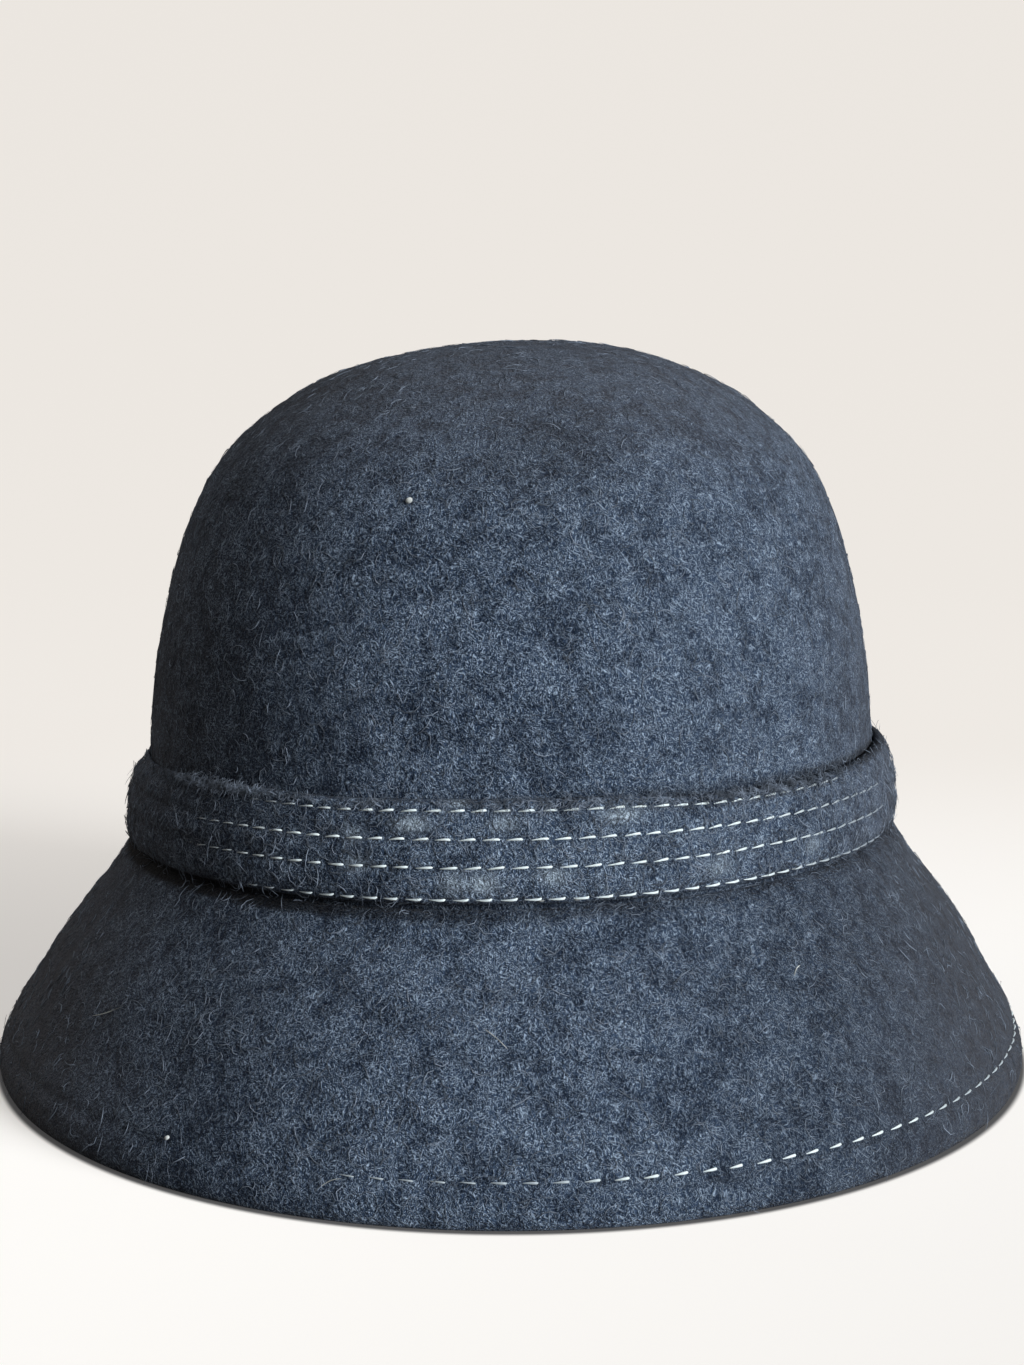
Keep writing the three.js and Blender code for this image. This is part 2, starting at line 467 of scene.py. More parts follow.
def brim_piece():
    edge = BRIM_HALF_WIDTH - EDGE_ROUND
    under = BRIM_HALF_WIDTH - HEM_FELT + EDGE_ROUND
    foot = [
        Vector((BRIM_HALF_WIDTH - EDGE_ROUND * 0.12, EDGE_ROUND * 1.2)),
        Vector((BRIM_HALF_WIDTH - EDGE_ROUND * 0.45, EDGE_ROUND * 0.42)),
        Vector((edge, 0)),
        Vector((under, 0)),
        Vector((under - EDGE_ROUND * 0.7, EDGE_ROUND * 0.5)),
    ]
    inside = evened(brim_inside, 1.8 * MM)
    return turned("brim_felt", [*brim_outside, *foot, *reversed(inside)], 288, brim_shape, hem_marks)


def band_piece():
    inside = evened(band_inside, 2 * MM)
    slit = BAND_SLIT / half_length(BAND_INSIDE)
    outline = [*band_outside, *reversed(inside)]
    return turned("band_felt", outline, 460, band_shape, round_marks, slit=slit)


def fibre_piece(name, runs):
    """Loose fibres as closed three-sided tubes of twenty triangles each, made one mesh."""
    bm = bmesh.new()
    for run in runs:
        side = (run[1][0] - run[0][0]).orthogonal()
        rings = []
        for i, (place, share) in enumerate(run):
            along = (run[min(i + 1, len(run) - 1)][0] - run[max(i - 1, 0)][0]).normalized()
            side = (side - along * side.dot(along)).normalized()
            up = along.cross(side)
            rings.append([
                bm.verts.new(place + (side * math.cos(turn) + up * math.sin(turn)) * FIBRE_RADIUS * share)
                for turn in (0, TURN / 3, 2 * TURN / 3)
            ])
        for low, high in zip(rings, rings[1:]):
            for j in range(3):
                k = (j + 1) % 3
                bm.faces.new((low[j], low[k], high[k], high[j]))
        bm.faces.new(rings[0][::-1])
        bm.faces.new(rings[-1])
    mesh = bpy.data.meshes.new(name)
    bm.to_mesh(mesh)
    bm.free()
    mesh.shade_smooth()
    return finished(name, mesh)


def strands(name, runs, radius):
    """Many short threads, each a run of (point, thickness share), made one mesh."""
    curve = bpy.data.curves.new(name, "CURVE")
    curve.dimensions = "3D"
    curve.bevel_depth = radius
    curve.bevel_resolution = 1
    curve.use_fill_caps = True
    for run in runs:
        spline = curve.splines.new("POLY")
        spline.points.add(len(run) - 1)
        for knot, (place, share) in zip(spline.points, run):
            knot.co = (*place, 1)
            knot.radius = share
    holder = bpy.data.objects.new(name, curve)
    mesh = bpy.data.meshes.new_from_object(holder)
    bpy.data.objects.remove(holder)
    bpy.data.curves.remove(curve)
    mesh.name = name
    mesh.shade_smooth()
    return finished(name, mesh)


def row_fade(around, share):
    """How far the band's thread has sunk and greyed, by the distance round and the height share."""
    around = math.remainder(around, round_marks.length) / MM
    inner = eased(share, 0.15, 0.25) * eased(share, 0.8, 0.7)
    top = eased(share, 0.7, 0.85)
    left = eased(around, lerp(-22, -32, inner), lerp(-68, -88, inner)) * eased(around, -150, -120)
    right = 0.7 * eased(around, 40, 92) + 0.3 * eased(around, 94 - 18 * top, 118 - 28 * top)
    return max(left, right * (1 - eased(around, 160, 195)), 0.02)


def hem_fade(around, share):
    around = math.remainder(around, hem_marks.length) / MM
    left = eased(around, -14, -34) * eased(around, -190, -150)
    thin = 0.6 * eased(around, 28, 8) * eased(around, -190, -150)
    right = 0.5 * eased(around, 75, 110) * (1 - eased(around, 150, 190))
    return max(left, thin, right, 0.02)


def stitch(face, marks, along, start, length, rise, faded):
    """One stitch: thin where it comes out of the felt, fullest just before it goes back in."""
    run = []
    thinning = 0.2 if start < marks.length / 2 else 0.65
    sunk = 0.6 * eased(faded, 0.8, 1)
    for share, out, thick in (
        (0, -0.3, 0.3),
        (0.1, 0.02, 0.45),
        (0.35, 0.18, 0.75),
        (0.65, 0.3, 1.15),
        (0.9, 0.24, 1.2),
        (1, -0.3, 0.7),
    ):
        place, outward = face.spot(along + rise * (share - 0.5), marks.angle(start + length * share))
        lifted = out * (1 - 0.3 * faded) - sunk
        run.append((place + outward * lifted * MM, thick * (1 - thinning * faded)))
    return run


def stitched_rows():
    rng = random.Random(11)
    rows = []
    pitch = round_marks.even(ROW_PITCH)
    for share, shift in zip(ROW_HEIGHTS, ROW_SHIFTS):
        along = band_face.height_at(BAND_FOOT + share * BAND_HEIGHT)
        for i in range(round(round_marks.length / pitch)):
            start = (shift + i) * pitch + rng.uniform(-0.15, 0.15) * MM
            length = ROW_DASH + rng.uniform(-0.25, 0.25) * MM
            rise = rng.uniform(0.1, 0.45) * MM
            rows.append(stitch(band_face, round_marks, along, start, length, rise, row_fade(start, share)))
    return rows


def hem_row(face, along, seed):
    rng = random.Random(seed)
    pitch = hem_marks.even(HEM_PITCH)
    rows = []
    for i in range(round(hem_marks.length / pitch)):
        start = i * pitch + rng.uniform(-0.15, 0.15) * MM
        length = HEM_DASH + rng.uniform(-0.25, 0.25) * MM
        rise = lerp(-0.2, 0.3, eased(math.remainder(start, hem_marks.length), -10 * MM, 25 * MM)) * MM
        rows.append(stitch(face, hem_marks, along, start, length, rise, hem_fade(start, 0)))
    return rows


# Loose wool; the lifts are in mm
CROWN_FIBRES = 5000
BRIM_FIBRES = 5000
BAND_FIBRES = 3500
LIP_FIBRES = 1300
FIBRE_RADIUS = 0.055 * MM
FIBRE_LENGTHS = (2 * MM, 5.5 * MM)
FIBRE_LIFT = 0.22
LIP_LIFT = 0.4
LIP_WEAR = ((-72, 13), (64, 15), (20, 30))  # mm round from centre front, and spread
# Lint: start and end as an angle from the front and a height in mm, bow in mm, thickness in fibres
LINT = (
    (crown_face, (-0.261, 130.2), (-0.245, 130.9), 0, 12),
    (brim_face, (-0.558, 9.2), (-0.55, 9.8), 0, 8),
    (brim_face, (-0.017, 32.8), (0.026, 29.5), 0.3, 1.7),
    (brim_face, (0.611, 36.2), (0.637, 37.8), 0.4, 2.4),
    (brim_face, (-0.881, 24), (-0.794, 28), -0.4, 1.7),
    (brim_face, (-0.266, 5.8), (-0.231, 7.8), 0.6, 1.7),
    (band_face, (0.09, 54), (0.102, 54.1), 0, 4),
    (band_face, (0.166, 54), (0.184, 54.2), 0, 4),
)


def loose_fibre(rng, face, along, angle, length, lift):
    """A curled wool fibre that lies on the felt, its middle lifted a little off it."""
    place, outward = face.spot(along, angle)
    side = outward.cross(Vector((0.2, 0.3, 1))).normalized()
    up = outward.cross(side)
    heading = rng.uniform(0, TURN)
    curl = rng.choice((-1, 1)) * rng.uniform(0.1, 1.1)
    step = length / 3
    run = []
    thick = rng.choice((0.8, 1, 1.7))
    for i in range(4):
        high = lift * math.sin(math.pi * i / 3.4) - 0.02
        knot = place + outward * high * MM
        knot.z = max(knot.z, 2 * FIBRE_RADIUS)
        run.append((knot, thick * (0.75, 1.1, 1.0, 0.4)[i]))
        place = place + (side * math.cos(heading) + up * math.sin(heading)) * step
        heading += curl
    return run


def fuzz(face, count, seed):
    """Fibres spread evenly over a face."""
    rng = random.Random(seed)
    widest = max(p.x for p in face.line.points)
    runs = []
    while len(runs) < count:
        along = rng.uniform(1 * MM, face.line.length - 1 * MM)
        if rng.random() * widest > face.line.at(along).x:
            continue
        lift = FIBRE_LIFT * rng.uniform(0.2, 1)
        length = rng.uniform(*FIBRE_LENGTHS)
        runs.append(loose_fibre(rng, face, along, rng.uniform(0, TURN), length, lift))
    return runs


def lip_fibres(count, seed):
    """Wool that has worked loose along the band's upper edge, at both sides of the front."""
    rng = random.Random(seed)
    edge = band_face.height_at(BAND_FOOT + 0.96 * BAND_HEIGHT)
    runs = []
    for _ in range(count):
        around = rng.gauss(*rng.choice(LIP_WEAR)) * MM
        along = edge + rng.gauss(0, 0.4) * MM
        length = rng.uniform(1.2, 3.4) * MM
        runs.append(loose_fibre(rng, band_face, along, round_marks.angle(around), length, LIP_LIFT))
    return runs


def lint_piece():
    """The few bits of lint and long hairs that lie on the front."""
    runs = []
    for face, (angle, low), (end_angle, high), bow, thick in LINT:
        first, last = face.height_at(low * MM), face.height_at(high * MM)
        run = []
        for i in range(9):
            share = i / 8
            along = lerp(first, last, share) + bow * MM * math.sin(math.pi * share)
            place, outward = face.spot(along, FRONT + lerp(angle, end_angle, share))
            round_ = max(math.sqrt(1 - (2 * share - 1) ** 2), 0.15)
            run.append((place + outward * 0.8 * thick * FIBRE_RADIUS, thick * round_))
        runs.append(run)
    return strands("lint", runs, FIBRE_RADIUS)


# Materials

NAVY = (0.005, 0.0105, 0.025, 1)
DENIM = (0.047, 0.078, 0.138, 1)
MIST = (0.40, 0.515, 0.68, 1)
# Grey of the painted sheen at the felt's sides and top
SHEEN_GREY = (0.118, 0.12, 0.134, 1)
# Chalk of the rubbed marks, also used for a painted highlight on the band's upper edge
CHALK_AND_EDGE_LIGHT = (0.68, 0.83, 0.98, 1)
# Near black for painted shade in creases, stitch grooves and the floor's contact shadow, and for two darker
# patches
SHADE_AND_PATCH_BLACK = (0.004, 0.005, 0.008, 1)
PALE_THREAD = (0.84, 0.95, 0.98, 1)
GRIMY_THREAD = (0.30, 0.38, 0.42, 1)
SUNK_THREAD = (0.10, 0.135, 0.20, 1)
LIGHT_WOOL = (0.24, 0.29, 0.37, 1)
WHITE_LINT = (0.66, 0.70, 0.70, 1)
GRAIN_TURN = (0.6, 0.5, 0.4)
# From where to where painted sheen greys the felt, out from the middle and up, and painted shade darkens it
# across
SHEEN_OUT = (58 * MM, 108 * MM)
SHEEN_UP = (125 * MM, 160 * MM)
SHADED_ACROSS = (-12 * MM, -58 * MM)


class Field:
    """A number that varies over a surface, with ordinary arithmetic."""

    def __init__(self, finish, socket):
        self.finish = finish
        self.socket = socket

    def _with(self, operation, *values):
        made = self.finish.node("Math", {"operation": operation}, dict(enumerate(values)))
        return Field(self.finish, made.outputs[0])

    def __add__(self, other):
        return self._with("ADD", self, other)

    def __sub__(self, other):
        return self._with("SUBTRACT", self, other)

    def __rsub__(self, other):
        return self._with("SUBTRACT", other, self)

    def __mul__(self, other):
        return self._with("MULTIPLY", self, other)

    def __truediv__(self, other):
        return self._with("DIVIDE", self, other)

    def __pow__(self, other):
        return self._with("POWER", self, other)

    __radd__ = __add__
    __rmul__ = __mul__

    def size(self):
        return self._with("ABSOLUTE", self)

    def fraction(self):
        return self._with("FRACT", self)

    def at_least(self, other):
        return self._with("MAXIMUM", self, other)

    def between(self, low, high):
        """0 below low, 1 above high, smooth between. low may be the larger."""
        made = self.finish.node(
            "MapRange",
            {"interpolation_type": "SMOOTHSTEP"},
            {"Value": self, "From Min": low, "From Max": high},
        )
        return Field(self.finish, made.outputs[0])


class Finish:
    """One material and the single way that nodes are put into it."""

    def __init__(self, name):
        self.material = bpy.data.materials.new(name)
        self.material.use_nodes = True
        self.tree = self.material.node_tree
        self.tree.nodes.clear()

    def node(self, kind, settings=None, sockets=None):
        made = self.tree.nodes.new("ShaderNode" + kind)
        for key, value in (settings or {}).items():
            setattr(made, key, value)
        for key, value in (sockets or {}).items():
            value = getattr(value, "socket", value)
            if isinstance(value, bpy.types.NodeSocket):
                self.tree.links.new(value, made.inputs[key])
            else:
                made.inputs[key].default_value = value
        return made

    def noise(self, place, scale, detail=2.0, roughness=0.5):
        sockets = {"Vector": place, "Scale": scale, "Detail": detail, "Roughness": roughness}
        made = self.node("TexNoise", {"noise_dimensions": "3D"}, sockets)
        return Field(self, made.outputs["Fac"])

    def shifted(self, place, offset):
        """The same places moved along and turned, so that no grain lines up with the hat's axes."""
        sockets = {"Vector": place, "Location": offset, "Rotation": GRAIN_TURN}
        return self.node("Mapping", None, sockets).outputs["Vector"]

    def mix(self, share, first, second):
        settings = {"data_type": "RGBA", "clamp_factor": True}
        return self.node("Mix", settings, {0: share, 6: first, 7: second}).outputs[2]

    def bump(self, height, distance, strength):
        sockets = {"Height": height, "Distance": distance, "Strength": strength}
        return self.node("Bump", None, sockets).outputs["Normal"]

    def done(self, **sockets):
        named = {key.replace("_", " "): value for key, value in sockets.items()}
        shader = self.node("BsdfPrincipled", None, named)
        self.node("OutputMaterial", None, {"Surface": shader.outputs["BSDF"]})
        return self.material


GOLDEN = (1 + math.sqrt(5)) / 2
# Six evenly spread directions, so that fibres lie along the felt whichever way it faces
FIBRE_AXES = [
    Vector(axis).normalized()
    for axis in (
        (0, 1, GOLDEN), (1, GOLDEN, 0), (GOLDEN, 0, 1),
        (0, -1, GOLDEN), (-1, GOLDEN, 0), (-GOLDEN, 0, 1),
    )
]


def wandered(finish, place, scale, amount, offset):
    """Places pushed about a little, so that straight streaks become curled fibres."""
    push = finish.node(
        "TexNoise",
        {"noise_dimensions": "3D"},
        {"Vector": finish.shifted(place, offset), "Scale": scale, "Detail": 0.0},
    )
    return finish.node(
        "VectorMath",
        {"operation": "MULTIPLY_ADD"},
        {0: push.outputs["Color"], 1: (amount, amount, amount), 2: place},
    ).outputs[0]


def fibre_streaks(finish, place, axes, scale, stretch, shift):
    """Short thin streaks along each of the directions: 1 on a fibre, 0 off it."""
    total = None
    for number, axis in enumerate(axes):
        turn = Vector((1, 0, 0)).rotation_difference(axis).to_euler()
        laid = finish.node(
            "Mapping",
            {"vector_type": "TEXTURE"},
            {
                "Vector": place,
                "Rotation": tuple(turn),
                "Location": (number * 0.037 + shift, number * 0.011, shift),
                "Scale": (stretch, 1, 1),
            },
        )
        streak = finish.noise(laid.outputs[0], scale, detail=0).between(0.60, 0.86)
        total = streak if total is None else total.at_least(streak)
    return total


# Rows of stitching for the felt's own dimples: height, pitch, shift and dash
BAND_PITCH = round_marks.even(ROW_PITCH)
BAND_ROWS = [
    (BAND_FOOT + share * BAND_HEIGHT, BAND_PITCH, shift * BAND_PITCH, ROW_DASH)
    for share, shift in zip(ROW_HEIGHTS, ROW_SHIFTS)
]
HEM_ROWS = [(HEM_ROW_HEIGHT, hem_marks.even(HEM_PITCH), 0, HEM_DASH)]


def dimples(finish, rows):
    """Where rows of stitching pull the felt in: a shallow line, a little deeper between two stitches."""
    split = finish.node("SeparateXYZ", None, {0: finish.node("UVMap", {"uv_map": "sewing"}).outputs[0]})
    around, high = Field(finish, split.outputs[0]), Field(finish, split.outputs[1])
    total = None
    for height, pitch, shift, dash in rows:
        middle = (dash / pitch + 1) / 2
        gap = (((around - shift) / pitch).fraction() - middle).size().between(0.2, 0.05)
        line = (high - height + 0.25 * MM).size().between(1.2 * MM, 0.2 * MM)
        spot = line * (0.5 + 0.05 * gap)
        total = spot if total is None else total.at_least(spot)
    drawn = Field(finish, finish.node("Attribute", {"attribute_name": "drawn"}).outputs["Fac"])
    return total * drawn


def felt(name, lightness=1.0, rubs_and_edge_light=False, rows=()):
    finish = Finish(name)
    place = finish.node("TexCoord").outputs["Object"]
    drift = finish.noise(finish.shifted(place, (0.9, 0.2, 0.4)), 60, detail=2)
    clumps = finish.noise(finish.shifted(place, (0.3, 0.1, 0.7)), 210, detail=2, roughness=0.65)
    grain = finish.noise(finish.shifted(place, (1.3, 0.4, 0.2)), 1400, detail=2, roughness=0.75)
    tight = wandered(finish, place, 520, 1.8 * MM, (0, 0, 0))
    loose = wandered(finish, place, 300, 3 * MM, (0.7, 0.7, 0.7))
    fibres = fibre_streaks(finish, tight, FIBRE_AXES[:3], 3700, 7, 0)
    fibres = fibres.at_least(fibre_streaks(finish, loose, FIBRE_AXES[3:], 3000, 7, 0.3))
    depth = (clumps * 0.7 + drift * 0.3).between(0.38, 0.6)
    fine = grain.between(0.30, 0.70)
    # Painted sheen greys the felt and dims its light fibres at the sides and on top; painted shade darkens
    # the wearer's right, away from the window light, and dims its fibres there too
    split = finish.node("SeparateXYZ", None, {0: place})
    across, high = Field(finish, split.outputs[0]), Field(finish, split.outputs[2])
    sheen_share = across.size().between(*SHEEN_OUT).at_least(high.between(*SHEEN_UP) * 0.7)
    # Painted shade on the wearer's right, away from the window light
    deeper = across.between(*SHADED_ACROSS)
    body = finish.mix((depth * 0.55 + fine * 0.5) * lightness * (1 - deeper * 0.65), NAVY, DENIM)
    fibres = fibres * (0.15 + depth * 0.65 + fine * 0.5) * lightness
    fibres = fibres * (1 - sheen_share * 0.5) * (1 - deeper * 0.3)
    body = finish.mix(fibres, body, MIST)
    # Painted sheen: the sides and top turn grey
    body = finish.mix(sheen_share * (0.3 + fine * 0.4), body, SHEEN_GREY)
    height = depth * 0.6 + fine * 0.6 + fibres * 0.6
    if rubs_and_edge_light:
        # Chalky rubbed marks, and a painted highlight along the band's upper edge
        rubbed_and_lit = Field(finish, finish.node("Attribute", {"attribute_name": "rubbed_and_lit"}).outputs["Fac"])
        body = finish.mix(rubbed_and_lit * (0.25 + fine * 0.55 + fibres), body, CHALK_AND_EDGE_LIGHT)
    if rows:
        # Painted shade in the stitch grooves, and a bump for their dip
        pulled = dimples(finish, rows)
        body = finish.mix(pulled * 0.3, body, SHADE_AND_PATCH_BLACK)
        height = height - pulled * 0.9
    # Painted shade in creases and under edges, and two darker patches, marked on the vertices
    shade_and_patches = Field(finish, finish.node("Attribute", {"attribute_name": "shade_and_patches"}).outputs["Fac"])
    body = finish.mix(shade_and_patches, body, SHADE_AND_PATCH_BLACK)
    return finish.done(
        Base_Color=body,
        Roughness=0.95,
        Sheen_Weight=0.05,
        Sheen_Roughness=0.35,
        Sheen_Tint=(1.0, 0.92, 0.85, 1),
        Specular_IOR_Level=0.15,
        Normal=finish.bump(height, 0.75 * MM, 0.9),
    )


def wool(name, colour):
    finish = Finish(name)
    place = finish.node("TexCoord").outputs["Object"]
    tone = finish.noise(place, 300, detail=1).between(0.35, 0.65)
    dark = tuple(0.35 * c for c in colour[:3]) + (1,)
    body = finish.mix(tone, dark, colour)
    return finish.done(Base_Color=body, Roughness=0.8, Specular_IOR_Level=0.2)


def thread(name, colour):
    finish = Finish(name)
    place = finish.node("TexCoord").outputs["Object"]
    ply = finish.noise(place, 1500, detail=1)
    grime = finish.noise(place, 120, detail=2).between(0.35, 0.6)
    faded = Field(finish, finish.node("Attribute", {"attribute_name": "faded"}).outputs["Fac"])
    body = finish.mix(grime * 0.12, colour, GRIMY_THREAD)
    body = finish.mix(faded, body, SUNK_THREAD)
    return finish.done(
        Base_Color=body,
        Roughness=0.4,
        Sheen_Weight=0.2,
        Normal=finish.bump(ply, 0.08 * MM, 0.5),
    )


# Chalky rubbed marks on the front of the band, the last a painted highlight along its lit upper edge on the
# wearer's right: distance round from centre front and height share, then half length, half height and
# strength
RUBS_AND_EDGE_LIGHT = (
    (-17.1, 0.755, 3.0, 1.3, 0.9),
    (-7.6, 0.95, 1.5, 0.8, 0.9),
    (-25.5, 0.95, 1.2, 0.7, 0.5),
    (-29.6, 0.65, 2.0, 1.6, 0.4),
    (-28.5, 0.37, 2.4, 1.4, 0.5),
    (-8.4, 0.215, 2.0, 2.0, 0.55),
    (-2.5, 0.215, 2.4, 1.6, 0.85),
    (1.7, 0.76, 2.6, 1.4, 0.45),
    (11.1, 0.27, 2.6, 1.5, 0.6),
    (25, 0.79, 3.4, 1.3, 0.7),
    (46, 0.215, 3.0, 1.8, 0.4),
    (73, 0.25, 2.5, 1.8, 0.35),
    # A painted highlight along the lit upper edge on the wearer's right
    (-66, 0.94, 13, 0.5, 0.5),
)


def mark(piece, name, rule):
    """Writes a number on each vertex, from its place, distance round from the front and level height."""
    values = []
    for vert in piece.data.vertices:
        x, y, z = vert.co
        angle = math.atan2((y - CROWN_SETBACK) / half_length(BAND_INSIDE), x / BAND_INSIDE)
        around = math.remainder(round_marks.distance(angle), round_marks.length)
        values.append(rule(vert.co, around, z - HEAD_TILT * math.cos(angle)))
    piece.data.attributes.new(name, "FLOAT", "POINT").data.foreach_set("value", values)


def band_rubs_and_edge_light(place, around, level):
    """How chalky the band is, with a painted highlight along its upper edge on the wearer's right."""
    high = (level - BAND_FOOT) / BAND_HEIGHT
    chalk = 0.0
    for middle, share, half_long, half_high, strength in RUBS_AND_EDGE_LIGHT:
        across = (around / MM - middle) / half_long
        up = (high - share) * BAND_HEIGHT / MM / half_high
        chalk += strength * math.exp(-(across * across + up * up))
    return min(chalk, 1)


def band_shade(place, around, level):
    """Painted shade under the band's lower edge, most on the wearer's right, and at its upper edge, most on
    the wearer's left.
    """
    right = eased(around, 20 * MM, 60 * MM) * (1 - eased(around, 150 * MM, 190 * MM))
    left = eased(around, 10 * MM, -60 * MM) * eased(around, -270 * MM, -180 * MM)
    # Painted shade under the lower edge
    low = (1 - eased(level, BAND_FOOT, BAND_FOOT + 0.9 * MM)) * (0.3 + 0.5 * left)
    top = BAND_FOOT + BAND_HEIGHT - LEFT_DIP * right
    # Painted shade at the upper edge
    return max(low, eased(level, top - 1.3 * MM, top - 0.3 * MM) * max(0.2, 0.6 * right))


def brim_shade_and_patch(place, around, level):
    """Painted shade where the brim runs in under the band, most on the wearer's right, and in the groove
    under the hem's row at the front on the wearer's left; and a darker patch over the front on the wearer's
    left.
    """
    left = eased(around, 20 * MM, -60 * MM) * eased(around, -270 * MM, -180 * MM)
    foot = BAND_INSIDE + BAND_FELT
    reach = math.hypot(place.x, (place.y - CROWN_SETBACK) * foot / half_length(foot))
    # Painted shade where the brim runs in under the band, most on the wearer's right
    tucked = eased(reach, foot + 1 * MM, foot) * (0.4 + 0.5 * left)
    # A darker patch over the brim's front on the wearer's left
    wearers_left_darker = 0.35 * eased(place.x, 20 * MM, 70 * MM) * eased(place.y, 40 * MM, -40 * MM)
    # Painted shade in the groove under the hem's row, patchy, at the front on the wearer's left
    under_row = (place.z - 6.6 * MM) / (1.1 * MM)
    patchy = eased(noise.noise(place / (5 * MM)), -0.4, 0.4)
    shade_under_hem_row = 0.5 * math.exp(-under_row * under_row) * eased(place.x, 18 * MM, 35 * MM) * patchy
    return max(tucked, wearers_left_darker, shade_under_hem_row * eased(place.x, 85 * MM, 65 * MM) * eased(place.y, 0, -50 * MM))


def crown_shade_and_patch(place, around, level):
    """Painted shade where the crown goes down behind the band, most on the wearer's left, and a darker patch
    in the soft dent on its front.
    """
    right = eased(around, 10 * MM, 50 * MM) * (1 - eased(around, 150 * MM, 190 * MM))
    top = BAND_FOOT + BAND_HEIGHT - LEFT_DIP * right
    # Painted shade behind the band's upper edge
    behind = (1 - eased(level, top + 0.2 * MM, top + 1.8 * MM)) * (0.12 + 0.6 * right)
    # A darker patch in the soft dent
    dent_patch = (place - Vector((7 * MM, -72 * MM, 141 * MM))).length / (17 * MM)
    return max(behind, 0.3 * math.exp(-dent_patch * dent_patch))


def faded_thread(fade, marks):
    def rule(place, around, level):
        distance = marks.distance(math.atan2(place.y, place.x))
        return fade(distance, (level - BAND_FOOT) / BAND_HEIGHT)

    return rule


def drawn_felt(fade, marks):
    faded = faded_thread(fade, marks)
    return lambda place, around, level: 1 - faded(place, around, level)


# Pieces on the hat

crown = crown_piece()
brim = brim_piece()
band = band_piece()
# Painted shade, and two darker patches, written on the felt pieces
mark(crown, "shade_and_patches", crown_shade_and_patch)
mark(brim, "shade_and_patches", brim_shade_and_patch)
mark(band, "shade_and_patches", band_shade)
# Chalky rubbed marks, and a painted highlight on the band's upper edge
mark(band, "rubbed_and_lit", band_rubs_and_edge_light)
mark(band, "drawn", drawn_felt(row_fade, round_marks))
mark(brim, "drawn", drawn_felt(hem_fade, hem_marks))
crown.data.materials.append(felt("blocked wool felt"))
brim.data.materials.append(felt("brim felt", rows=HEM_ROWS))
band.data.materials.append(felt("band felt", lightness=1.12, rubs_and_edge_light=True, rows=BAND_ROWS))
for piece, node in ((crown, "crown"), (brim, "brim"), (band, "band")):
    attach(piece, "root")
    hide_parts(node)

pale_thread = thread("pale thread", PALE_THREAD)
hem_outside = hem_row(brim_face, brim_face.height_at(HEM_ROW_HEIGHT), 21)
hem_inside = hem_row(brim_under_face, brim_under_face.height_at(HEM_ROW_HEIGHT), 22)
for name, runs, radius, fade, marks, slot in (
    ("band_stitching", stitched_rows(), ROW_THREAD, row_fade, round_marks, "band_felt"),
    ("hem_stitching", hem_outside, HEM_THREAD, hem_fade, hem_marks, "brim_felt"),
    ("hem_underside_stitching", hem_inside, HEM_THREAD, hem_fade, hem_marks, "brim_felt"),
):
    piece = strands(name, runs, radius)
    mark(piece, "faded", faded_thread(fade, marks))
    piece.data.materials.append(pale_thread)
    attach(piece, "root")

light_wool = wool("loose light wool", LIGHT_WOOL)
for name, runs, slot in (
    ("crown_fibres", fuzz(crown_face, CROWN_FIBRES, 31), "crown_felt"),
    ("brim_fibres", fuzz(brim_face, BRIM_FIBRES, 32), "brim_felt"),
    ("band_fibres", fuzz(band_face, BAND_FIBRES, 33) + lip_fibres(LIP_FIBRES, 34), "band_felt"),
):
    fibres = fibre_piece(name, runs)
    fibres.data.materials.append(light_wool)
    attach(fibres, "root")
lint = lint_piece()
lint.data.materials.append(wool("white lint", WHITE_LINT))
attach(lint, "root")


# Floor, backdrop, light and camera

# Paper sweep in metres: how far it runs forward and back, its bend, its height and half width
SWEEP_FRONT = -2.0
SWEEP_BACK = 1.6
SWEEP_BEND = 0.8
SWEEP_HEIGHT = 2.4
SWEEP_SIDE = 4.0
FLOOR_PAPER = (0.555, 0.55, 0.54, 1)
WALL_PAPER = (0.05, 0.05, 0.05, 1)
BOUNCE_PAPER = (0.22, 0.20, 0.18, 1)
FLOOR_GLOW = (0.475, 0.455, 0.435, 1)
WALL_GLOW = (0.817, 0.777, 0.731, 1)
ROOM_COLOUR = (1.0, 0.95, 0.9, 1)
ROOM_STRENGTH = 0.055
# Name, place, width in metres, watts and colour of each light
LIGHTS = (
    ("window", (1.68, -1.52, 0.66), 1.3, 70, (0.97, 0.99, 1.0)),
    ("ceiling", (-0.1, 0.1, 2.3), 1.4, 12, (1.0, 0.99, 0.97)),
    ("pale wall", (-1.6, 1.1, 0.5), 1.6, 8, (1.0, 0.93, 0.86)),
)
LIGHTS_AIM = Vector((0, 0, 90 * MM))


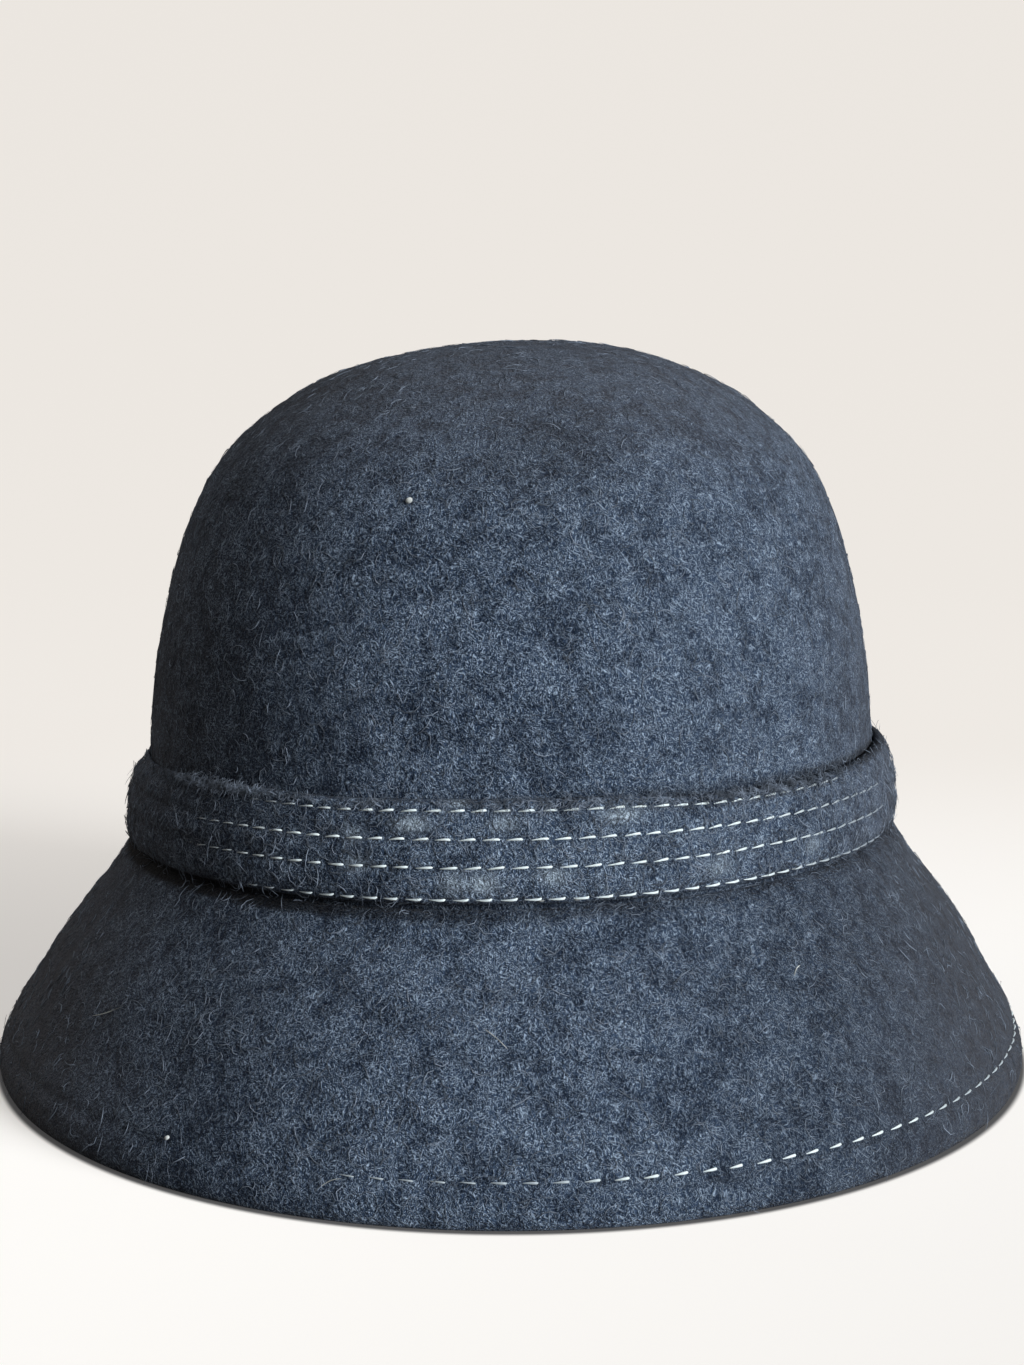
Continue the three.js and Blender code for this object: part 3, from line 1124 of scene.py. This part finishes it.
def stage():
    bm = bmesh.new()
    outline = [Vector((SWEEP_FRONT, 0)), Vector((SWEEP_BACK, 0))]
    for i in range(1, 17):
        turn = math.pi / 2 * i / 16
        out, up = SWEEP_BEND * math.sin(turn), SWEEP_BEND * (1 - math.cos(turn))
        outline.append(Vector((SWEEP_BACK + out, up)))
    outline.append(Vector((SWEEP_BACK + SWEEP_BEND, SWEEP_HEIGHT)))
    verts = [bm.verts.new((-SWEEP_SIDE, p.x, p.y)) for p in outline]
    edges = [bm.edges.new(pair) for pair in zip(verts, verts[1:])]
    moved = bmesh.ops.extrude_edge_only(bm, edges=edges)
    new = [g for g in moved["geom"] if isinstance(g, bmesh.types.BMVert)]
    bmesh.ops.translate(bm, verts=new, vec=(2 * SWEEP_SIDE, 0, 0))
    bmesh.ops.recalc_face_normals(bm, faces=bm.faces)
    mesh = bpy.data.meshes.new("paper sweep")
    bm.to_mesh(mesh)
    bm.free()
    mesh.shade_smooth()
    sweep = finished("paper_sweep", mesh)
    finish = Finish("pale paper")
    split = finish.node("SeparateXYZ", None, {0: finish.node("TexCoord").outputs["Object"]})
    across, along = Field(finish, split.outputs[0]), Field(finish, split.outputs[1])
    oval = (across / BRIM_HALF_WIDTH) ** 2 + (along / BRIM_HALF_LENGTH) ** 2
    # Painted contact shadow: the paper darkens under the brim and in a thin ring just outside its edge
    contact_shadow = oval.between(1.025, 1.0) * 0.9
    far = along.between(0.0, 0.5)
    glow_colour = finish.mix(contact_shadow, finish.mix(far, FLOOR_GLOW, WALL_GLOW), SHADE_AND_PATCH_BLACK)
    paper_colour = finish.mix(contact_shadow, finish.mix(far, FLOOR_PAPER, WALL_PAPER), SHADE_AND_PATCH_BLACK)
    glow = finish.node("Emission", None, {"Color": glow_colour, "Strength": 1.0})
    paper = finish.node("BsdfDiffuse", None, {"Color": paper_colour, "Roughness": 1.0})
    both = finish.node("AddShader", None, {0: paper.outputs[0], 1: glow.outputs[0]})
    dim = finish.node("BsdfDiffuse", None, {"Color": BOUNCE_PAPER})
    seen = finish.node("LightPath").outputs["Is Camera Ray"]
    mixed = finish.node("MixShader", None, {0: seen, 1: dim.outputs[0], 2: both.outputs[0]})
    finish.node("OutputMaterial", None, {"Surface": mixed.outputs[0]})
    mesh.materials.append(finish.material)


def light():
    world = bpy.data.worlds.new("soft room")
    bpy.context.scene.world = world
    world.use_nodes = True
    sky = world.node_tree.nodes["Background"]
    sky.inputs["Color"].default_value = ROOM_COLOUR
    sky.inputs["Strength"].default_value = ROOM_STRENGTH
    for name, place, size, power, colour in LIGHTS:
        lamp = bpy.data.lights.new(name, "AREA")
        lamp.shape = "DISK"
        lamp.size = size
        lamp.energy = power
        lamp.color = colour
        holder = bpy.data.objects.new(name, lamp)
        bpy.context.scene.collection.objects.link(holder)
        holder.location = place
        holder.rotation_euler = (LIGHTS_AIM - Vector(place)).to_track_quat("-Z", "Y").to_euler()


FOCAL_PIXELS = 1984.0  # of a photo 1365 pixels high
PHOTO_HEIGHT = 1365
CAMERA_HEIGHT = 141 * MM
CAMERA_DISTANCE = 480 * MM
CAMERA_PITCH = math.radians(6.71)
CAMERA_TURN = math.radians(1.71)


def camera():
    lens = bpy.data.cameras.new("camera")
    lens.sensor_width = 36
    lens.lens = 36 * FOCAL_PIXELS / PHOTO_HEIGHT
    lens.clip_start = 0.01
    holder = bpy.data.objects.new("camera", lens)
    bpy.context.scene.collection.objects.link(holder)
    holder.location = (
        CAMERA_DISTANCE * math.sin(CAMERA_TURN),
        CROWN_SETBACK - CAMERA_DISTANCE * math.cos(CAMERA_TURN),
        CAMERA_HEIGHT,
    )
    holder.rotation_euler = (math.pi / 2 - CAMERA_PITCH, 0, CAMERA_TURN)
    bpy.context.scene.camera = holder


stage()
light()
camera()
bpy.context.scene.view_settings.view_transform = "Standard"
